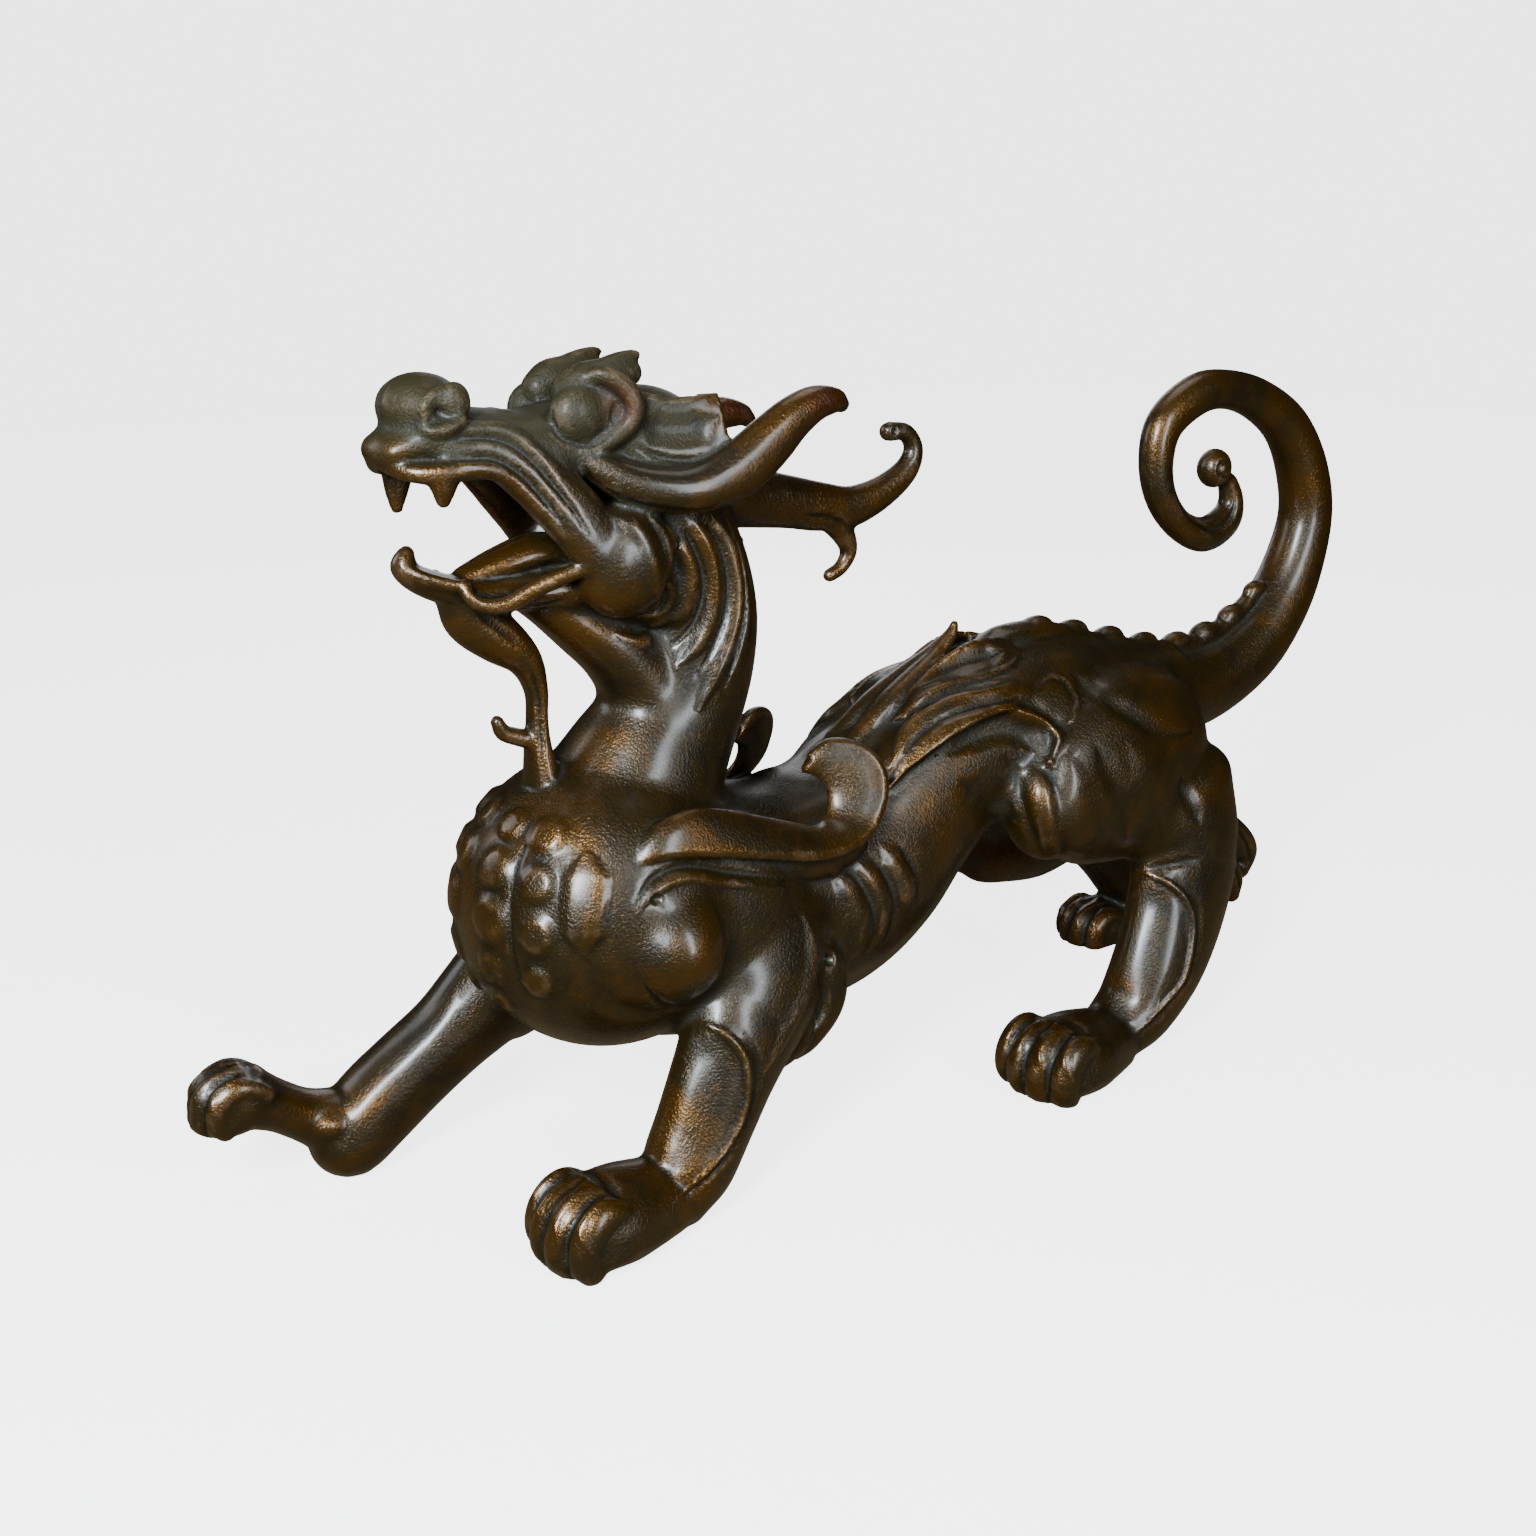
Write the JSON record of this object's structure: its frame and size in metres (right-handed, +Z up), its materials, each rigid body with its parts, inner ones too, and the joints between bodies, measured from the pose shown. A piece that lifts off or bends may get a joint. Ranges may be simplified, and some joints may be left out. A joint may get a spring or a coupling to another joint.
{
  "type": "pixiu statue",
  "caption": "Hollow cast bronze pixiu striding on four paws, open-mouthed and maned, with scooped wings, a forked horn and a spiral tail.",
  "frame": {"origin": "bottom centre of the statue's bounding box, on the plane its paws stand on", "axes": "+Z up; the animal faces -Y and its left side is +X"},
  "size_m": [0.1056, 0.3934, 0.2209],
  "materials": {
    "waxed_bronze": "dark brown waxed bronze patina, olive-green in the recesses and rubbed golden brown on the high edges, semi-gloss"
  },
  "bodies": {
    "root": {"pixiu_casting": "waxed_bronze"}
  },
  "joints": []
}
